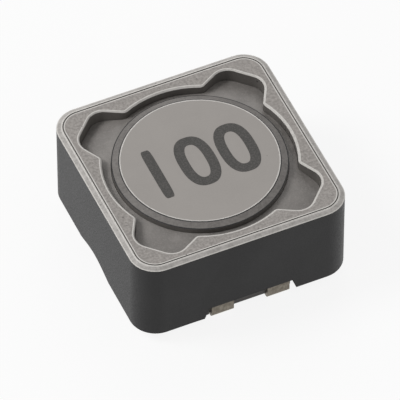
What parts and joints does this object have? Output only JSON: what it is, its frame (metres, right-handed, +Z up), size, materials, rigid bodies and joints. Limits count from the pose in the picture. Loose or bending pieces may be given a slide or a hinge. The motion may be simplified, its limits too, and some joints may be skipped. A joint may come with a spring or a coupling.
{
  "type": "shielded smd inductor",
  "caption": "Square shielded power inductor for board mounting: a wound ferrite drum glued into a ferrite shield, with flat solder pads on two sides of its underside.",
  "frame": {"origin": "centre of the footprint, on the board plane that the solder pads stand on", "axes": "+Z up through the top face; the two terminal clips face -Y (front) and +Y (rear); the plain sides face -X and +X"},
  "size_m": [0.0126, 0.0126, 0.006],
  "materials": {
    "shield_ferrite": "dark grey pressed ferrite, ground lighter on the top face",
    "drum_ferrite": "light grey ground ferrite",
    "enamelled_wire": "clear-enamelled copper",
    "tinned_clip": "matte tin plate",
    "solder": "satin solder",
    "resin": "cured grey epoxy"
  },
  "bodies": {
    "root": {"shield_core": "shield_ferrite", "drum_core": "drum_ferrite", "winding": "enamelled_wire", "terminal_front": "tinned_clip", "terminal_rear": "tinned_clip", "solder_front": "solder", "solder_rear": "solder", "resin_front_left": "resin", "resin_front_right": "resin", "resin_rear_left": "resin", "resin_rear_right": "resin"}
  },
  "joints": []
}
